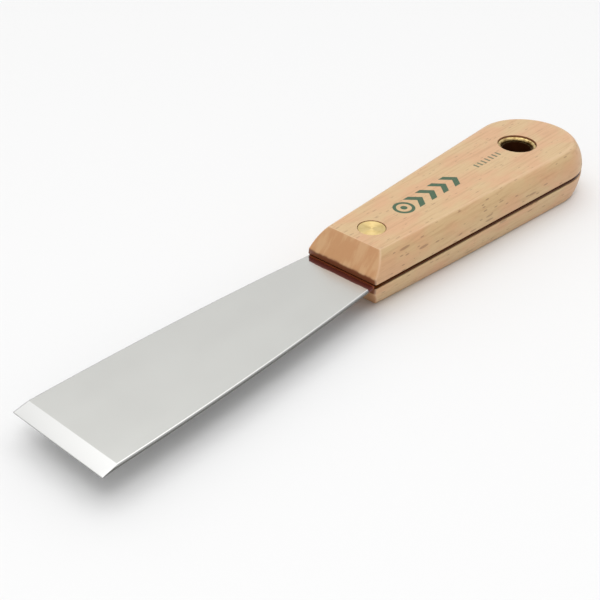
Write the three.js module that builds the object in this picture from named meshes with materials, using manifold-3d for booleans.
// Flexible putty knife: a steel blade whose tang runs the full length of a beech handle made of
// two scales, held by a brass cutlery rivet near the blade and a brass eyelet in the hanging hole.
//
// Millimetres. X runs from the working edge (-) to the butt (+), and Z is up. Every piece is drawn
// with x = 0 at the handle's front face and z = 0 in the middle of the tang. The group is moved at
// the end, so that the origin is the middle of the bottom of the whole tool's bounding box.
import * as THREE from 'three';
import { mergeVertices } from 'three/addons/utils/BufferGeometryUtils.js';
import Module from 'manifold-3d';

const wasm = await Module();
wasm.setup();

// Blade and tang
const BLADE_LENGTH = 95.6; // working edge to the handle's front face
const EDGE_WIDTH = 32; // across the working edge
const BLADE_TIP_THICKNESS = 1.1;
const TANG_THICKNESS = 1.4;
const NECK_INSET = 0.6; // the blade enters the handle this far inside its front corners
const TANG_INSET = 0.2; // how far the tang's edge lies inside the scales' outline
const SHOULDER_RUN = 0.6; // the tang widens from the neck over this length, inside the handle
const BEVEL_LENGTH = 4.4; // chisel bevel, ground on the upper face only
const EDGE_THICKNESS = 0.15;

// Handle scales
const HANDLE_LENGTH = 107.8;
const FRONT_WIDTH = 24.5;
const SIDE_TAPER = THREE.MathUtils.degToRad(3.85); // each side widens towards the butt
const SCALE_THICKNESS = 7.7;
const FRONT_LAND = 1.6; // upright part of the front face, next to the blade

// The sides are barrelled: upright at the seam, they follow a wide arc up to a small round onto the
// flat face. These are the radii of both at the front and at the butt, and the front's slope.
const UPPER_SHAPE = { frontBarrel: 12, buttBarrel: 12, frontRound: 0.8, buttRound: 2.8, slopeRun: 5 };
const LOWER_SHAPE = { frontBarrel: 12, buttBarrel: 22, frontRound: 0.8, buttRound: 1.2, slopeRun: 4 };

// Front rivet
const RIVET_X = 12.6;
const RIVET_HEAD_RADIUS = 3.9;
const RIVET_HEAD_THICKNESS = 1;
const RIVET_POST_RADIUS = 1.8;
const RIVET_TUBE_WALL = 0.6;
const RIVET_HEAD_DISH = 0.12; // the heads are dished by this much, and sit flush with the wood

// Hanging hole and its eyelet
const HANG_HOLE_FROM_BUTT = 23.7;
const HANG_HOLE_RADIUS = 4.5; // the clear bore inside the eyelet
const EYELET_WALL = 0.35;
const EYELET_FLANGE_WIDTH = 0.7; // past the outer tube
const EYELET_FLANGE_THICKNESS = 0.8;
const EYELET_RECESS = 0.5; // the flange's face lies this far below the wood

// Clearances
const POCKET_CLEARANCE = 0.18; // round a head or flange in its pocket
const BORE_CLEARANCE = 0.05; // round a tube in the wood, and between nested tubes
const TANG_HOLE_CLEARANCE = 0.2; // round a tube in the tang
const END_CLEARANCE = 0.3; // past the end of a post or tube

const ROUND_SEGMENTS = 48;
const SIDE_STEPS = 10; // along one side of a scale
const BUTT_STEPS = 28; // round the butt
const BARREL_STEPS = 4; // up the barrelled side
const ROUND_OVER_STEPS = 4; // over the rounded top edge

const halfTang = TANG_THICKNESS / 2;
const halfHandle = halfTang + SCALE_THICKNESS;
const slopeStart = halfTang + FRONT_LAND;
const hangHoleX = HANDLE_LENGTH - HANG_HOLE_FROM_BUTT;
const rivetTubeRadius = RIVET_POST_RADIUS + BORE_CLEARANCE + RIVET_TUBE_WALL;
const eyeletSleeveBore = HANG_HOLE_RADIUS + EYELET_WALL + BORE_CLEARANCE;
const eyeletSleeveRadius = eyeletSleeveBore + EYELET_WALL;
const eyeletFlangeRadius = eyeletSleeveRadius + EYELET_FLANGE_WIDTH;
const buttRadius = (FRONT_WIDTH / 2 * Math.cos(SIDE_TAPER) + HANDLE_LENGTH * Math.sin(SIDE_TAPER))
  / (1 + Math.sin(SIDE_TAPER));
const buttCentreX = HANDLE_LENGTH - buttRadius;

const steel = new THREE.MeshStandardMaterial({ color: 0xcfd0cb, roughness: 0.38, metalness: 1 });
const beech = new THREE.MeshStandardMaterial({ color: 0xe2ba94, roughness: 0.6, metalness: 0 });
const brass = new THREE.MeshStandardMaterial({ color: 0xd9bd6f, roughness: 0.3, metalness: 1 });

// ---- helpers -------------------------------------------------------------------------------

// Half the handle's width at x, along its straight sides, moved in by an inset.
function halfWidthAt(x, inset) {
  return FRONT_WIDTH / 2 + x * Math.tan(SIDE_TAPER) - inset / Math.cos(SIDE_TAPER);
}

// A three.js geometry as a solid that can be cut and joined.
function toSolid(geometry) {
  const bare = geometry.clone();
  bare.deleteAttribute('normal');
  bare.deleteAttribute('uv');
  const merged = mergeVertices(bare, 1e-4);
  return new wasm.Manifold(new wasm.Mesh({
    numProp: 3,
    vertProperties: new Float32Array(merged.attributes.position.array),
    triVerts: new Uint32Array(merged.index.array),
  }));
}

function toGeometry(solid) {
  const mesh = solid.getMesh();
  const geometry = new THREE.BufferGeometry();
  geometry.setAttribute('position', new THREE.BufferAttribute(mesh.vertProperties, 3));
  geometry.setIndex(new THREE.BufferAttribute(mesh.triVerts, 1));
  return geometry;
}

// A prism standing on the XY plane's outline, from one height to another.
function uprightPrism(shape, low, high) {
  const options = { depth: high - low, bevelEnabled: false, curveSegments: ROUND_SEGMENTS / 2 };
  return new THREE.ExtrudeGeometry(shape, options).translate(0, 0, low);
}

// A prism across the tool: its outline is given as [x, z] points.
function crossPrism(points, halfWidth) {
  const shape = new THREE.Shape(points.map(([x, z]) => new THREE.Vector2(x, z)));
  const options = { depth: 2 * halfWidth, bevelEnabled: false };
  return new THREE.ExtrudeGeometry(shape, options).rotateX(Math.PI / 2).translate(0, halfWidth, 0);
}

// A turned solid about an upright axis at x: its profile is given as [radius, z] points.
function turned(profile, x) {
  const points = profile.map(([radius, z]) => new THREE.Vector2(radius, z));
  return new THREE.LatheGeometry(points, ROUND_SEGMENTS).rotateX(Math.PI / 2).translate(x, 0, 0);
}

function plug(x, radius, low, high) {
  return turned([[0, low], [radius, low], [radius, high], [0, high]], x);
}

function namedMesh(name, geometry, material) {
  const mesh = new THREE.Mesh(geometry, material.clone());
  mesh.name = name;
  return mesh;
}

// Turns a piece of the upper half over into its place in the lower half.
function turnedOver(geometry) {
  return geometry.rotateX(Math.PI);
}

// ---- blade ---------------------------------------------------------------------------------

// The sides leave the working edge square to it and narrow in a curve to the neck. Inside the handle
// the plate widens to the tang, which follows the scales' outline to a rounded end.
function bladeOutline() {
  const halfEdge = EDGE_WIDTH / 2;
  const neck = FRONT_WIDTH / 2 - NECK_INSET / Math.cos(SIDE_TAPER);
  const [shoulderX, shoulder] = [SHOULDER_RUN, halfWidthAt(SHOULDER_RUN, TANG_INSET)];
  const endRadius = buttRadius - TANG_INSET;
  const shape = new THREE.Shape();
  shape.moveTo(-BLADE_LENGTH, -halfEdge);
  shape.quadraticCurveTo(-BLADE_LENGTH / 2, -halfEdge, 0, -neck);
  shape.lineTo(shoulderX, -shoulder);
  shape.absarc(buttCentreX, 0, endRadius, -Math.PI / 2 - SIDE_TAPER, Math.PI / 2 + SIDE_TAPER);
  shape.lineTo(shoulderX, shoulder);
  shape.lineTo(0, neck);
  shape.quadraticCurveTo(-BLADE_LENGTH / 2, halfEdge, -BLADE_LENGTH, halfEdge);
  const holes = [
    [RIVET_X, rivetTubeRadius + TANG_HOLE_CLEARANCE],
    [hangHoleX, eyeletSleeveRadius + TANG_HOLE_CLEARANCE],
  ];
  for (const [x, radius] of holes) {
    shape.holes.push(new THREE.Path().absarc(x, 0, radius, 0, 2 * Math.PI));
  }
  return shape;
}

// Side view: an even tang, a blade that thins towards the edge, and the bevel on the upper face.
function bladeProfile() {
  const halfTip = BLADE_TIP_THICKNESS / 2;
  const bevelShare = BEVEL_LENGTH / BLADE_LENGTH;
  const halfAtBevel = halfTip + (halfTang - halfTip) * bevelShare;
  return [
    [-BLADE_LENGTH, -halfTip],
    [0, -halfTang],
    [HANDLE_LENGTH, -halfTang],
    [HANDLE_LENGTH, halfTang],
    [0, halfTang],
    [-BLADE_LENGTH + BEVEL_LENGTH, halfAtBevel],
    [-BLADE_LENGTH, -halfTip + EDGE_THICKNESS],
  ];
}

function bladeGeometry() {
  const plan = toSolid(uprightPrism(bladeOutline(), -TANG_THICKNESS, TANG_THICKNESS));
  const profile = toSolid(crossPrism(bladeProfile(), EDGE_WIDTH + buttRadius));
  return toGeometry(plan.intersect(profile));
}

// ---- scales --------------------------------------------------------------------------------

// One point of a scale's outline, moved in from the widest outline by an inset: `along` runs from
// 0 at the front corner, through 1 where the butt's round begins, to 2 on the butt's tip.
function outlinePoint(along, inset) {
  const radius = buttRadius - inset;
  if (along > 1) {
    const angle = (2 - along) * (Math.PI / 2 + SIDE_TAPER);
    return [buttCentreX + radius * Math.cos(angle), radius * Math.sin(angle)];
  }
  const x = along * (buttCentreX - radius * Math.sin(SIDE_TAPER));
  return [x, halfWidthAt(x, inset)];
}

// The cross-section: two arcs that touch, the wide one upright at the middle of the tang and the
// small one level with the flat face. Returns the inset and height of each level, for a place along
// the outline.
function sideLevels(along, shape) {
  const share = Math.min(along, 1);
  const barrel = THREE.MathUtils.lerp(shape.frontBarrel, shape.buttBarrel, share);
  const round = THREE.MathUtils.lerp(shape.frontRound, shape.buttRound, share);
  const seam = Math.asin(halfTang / barrel);
  const touch = Math.asin((halfHandle - round) / (barrel - round));
  const levels = [];
  for (let step = 0; step < BARREL_STEPS; step += 1) {
    const angle = THREE.MathUtils.lerp(seam, touch, step / BARREL_STEPS);
    levels.push([barrel * (1 - Math.cos(angle)), step === 0 ? halfTang : barrel * Math.sin(angle)]);
  }
  const roundInset = barrel - (barrel - round) * Math.cos(touch);
  for (let step = 0; step <= ROUND_OVER_STEPS; step += 1) {
    const angle = THREE.MathUtils.lerp(touch, Math.PI / 2, step / ROUND_OVER_STEPS);
    const height = step === ROUND_OVER_STEPS
      ? halfHandle : halfHandle - round + round * Math.sin(angle);
    levels.push([roundInset - round * Math.cos(angle), height]);
  }
  return levels;
}

// The scale before its front is sloped and its holes are bored: rings of points, one for each
// level, joined into walls and closed by flat caps. The columns run from the far front corner,
// round the butt, to the near front corner.
function scaleBlank(shape) {
  const places = [];
  for (let i = 0; i < SIDE_STEPS; i += 1) places.push(i / SIDE_STEPS);
  for (let i = 0; i <= BUTT_STEPS / 2; i += 1) places.push(1 + i / (BUTT_STEPS / 2));
  const farSide = places.map((along) => sideLevels(along, shape)
    .map(([inset, height]) => [...outlinePoint(along, inset), height]));
  const nearSide = farSide.slice(0, -1).reverse()
    .map((column) => column.map(([x, y, z]) => [x, -y, z]));
  const columns = [...farSide, ...nearSide];
  const levelCount = BARREL_STEPS + ROUND_OVER_STEPS + 1;
  const count = columns.length;
  const indices = [];
  for (let i = 0; i < count; i += 1) {
    const next = (i + 1) % count;
    for (let level = 0; level + 1 < levelCount; level += 1) {
      const [a, b] = [i * levelCount + level, next * levelCount + level];
      indices.push(a, a + 1, b, b, a + 1, b + 1);
    }
  }
  indices.push(...ladder(farSide.length, levelCount, 0));
  indices.push(...ladder(farSide.length, levelCount, levelCount - 1).reverse());
  const geometry = new THREE.BufferGeometry();
  geometry.setAttribute('position', new THREE.Float32BufferAttribute(columns.flat(2), 3));
  geometry.setIndex(indices);
  return geometry;
}

// A flat cap made of rungs from each point of the far side to its twin on the near side, with its
// face pointing down.
function ladder(farCount, levelCount, level) {
  const indices = [];
  const corner = (place) => place * levelCount + level;
  for (let i = 0; i + 1 < farCount; i += 1) {
    const [near, nextNear] = [2 * farCount - 2 - i, 2 * farCount - 3 - i];
    indices.push(corner(i), corner(i + 1), corner(near));
    if (nextNear > i + 1) indices.push(corner(i + 1), corner(nextNear), corner(near));
  }
  return indices;
}

// Everything in front of the slope that runs from the upright land to the flat face.
function slopeCutter(slopeRun) {
  const rise = halfHandle - slopeStart;
  const past = 0.5;
  return crossPrism([
    [-past * slopeRun, slopeStart - past * rise],
    [(1 + past) * slopeRun, halfHandle + past * rise],
    [-past * slopeRun, halfHandle + past * rise],
  ], FRONT_WIDTH);
}

// Stepped bores for the rivet and the eyelet: a shank hole, and a pocket for the head or flange.
function boreCutters() {
  const past = 1;
  const below = halfTang - past;
  const above = halfHandle + past;
  const eyeletFloor = halfHandle - EYELET_RECESS - EYELET_FLANGE_THICKNESS;
  return [
    plug(RIVET_X, rivetTubeRadius + BORE_CLEARANCE, below, above),
    plug(RIVET_X, RIVET_HEAD_RADIUS + BORE_CLEARANCE, halfHandle - RIVET_HEAD_THICKNESS, above),
    plug(hangHoleX, eyeletSleeveRadius + BORE_CLEARANCE, below, above),
    plug(hangHoleX, eyeletFlangeRadius + POCKET_CLEARANCE, eyeletFloor, above),
  ];
}

function scaleGeometry(shape) {
  const cutters = [slopeCutter(shape.slopeRun), ...boreCutters()];
  let solid = toSolid(scaleBlank(shape));
  for (const cutter of cutters) solid = solid.subtract(toSolid(cutter));
  return toGeometry(solid);
}

// ---- front rivet ---------------------------------------------------------------------------

const rivetHeadUnderside = halfHandle - RIVET_HEAD_THICKNESS;

// The solid half: a head on a post that goes down inside the hollow half.
function rivetPostGeometry() {
  const postEnd = -rivetHeadUnderside + END_CLEARANCE;
  return turned([
    [0, postEnd],
    [RIVET_POST_RADIUS, postEnd],
    [RIVET_POST_RADIUS, rivetHeadUnderside],
    [RIVET_HEAD_RADIUS, rivetHeadUnderside],
    [RIVET_HEAD_RADIUS, halfHandle],
    [0, halfHandle - RIVET_HEAD_DISH],
  ], RIVET_X);
}

// The hollow half, drawn head up and turned over: a head on a tube with a blind bore.
function rivetSleeveGeometry() {
  const bore = RIVET_POST_RADIUS + BORE_CLEARANCE;
  const tubeEnd = -rivetHeadUnderside + END_CLEARANCE;
  return turnedOver(turned([
    [0, rivetHeadUnderside],
    [bore, rivetHeadUnderside],
    [bore, tubeEnd],
    [rivetTubeRadius, tubeEnd],
    [rivetTubeRadius, rivetHeadUnderside],
    [RIVET_HEAD_RADIUS, rivetHeadUnderside],
    [RIVET_HEAD_RADIUS, halfHandle],
    [0, halfHandle - RIVET_HEAD_DISH],
  ], RIVET_X));
}

// ---- hanging eyelet ------------------------------------------------------------------------

const flangeTop = halfHandle - EYELET_RECESS;
const flangeUnderside = flangeTop - EYELET_FLANGE_THICKNESS;

// A flanged tube, flange up, that rolls over from its bore onto the flange's face.
function flangedTube(bore, tubeRadius, tubeEnd) {
  const rollRadius = EYELET_FLANGE_THICKNESS;
  const roll = [];
  for (let step = 0; step <= ROUND_OVER_STEPS; step += 1) {
    const angle = (Math.PI / 2) * (step / ROUND_OVER_STEPS);
    const inward = rollRadius * (1 - Math.sin(angle));
    const down = rollRadius * (1 - Math.cos(angle));
    roll.push([bore + inward, flangeTop - down]);
  }
  return turned([
    [tubeRadius, tubeEnd],
    [tubeRadius, flangeUnderside],
    [eyeletFlangeRadius, flangeUnderside],
    [eyeletFlangeRadius, flangeTop],
    ...roll,
    [bore, tubeEnd],
    [tubeRadius, tubeEnd],
  ], hangHoleX);
}

// The outer half of the eyelet, from the upper face.
function eyeletSleeveGeometry() {
  return flangedTube(eyeletSleeveBore, eyeletSleeveRadius, -flangeUnderside + END_CLEARANCE);
}

// The inner half, from the lower face, pressed up inside the outer one.
function eyeletTubeGeometry() {
  const tubeRadius = HANG_HOLE_RADIUS + EYELET_WALL;
  const tubeEnd = -flangeUnderside - EYELET_FLANGE_THICKNESS / 2;
  return turnedOver(flangedTube(HANG_HOLE_RADIUS, tubeRadius, tubeEnd));
}

// ---- the tool ------------------------------------------------------------------------------

const group = new THREE.Group();
group.add(
  namedMesh('blade', bladeGeometry(), steel),
  namedMesh('upper_scale', scaleGeometry(UPPER_SHAPE), beech),
  namedMesh('lower_scale', turnedOver(scaleGeometry(LOWER_SHAPE)), beech),
  namedMesh('front_rivet_post', rivetPostGeometry(), brass),
  namedMesh('front_rivet_sleeve', rivetSleeveGeometry(), brass),
  namedMesh('hang_eyelet_sleeve', eyeletSleeveGeometry(), brass),
  namedMesh('hang_eyelet_tube', eyeletTubeGeometry(), brass),
);
group.position.set((BLADE_LENGTH - HANDLE_LENGTH) / 2, 0, halfHandle);

export default group;
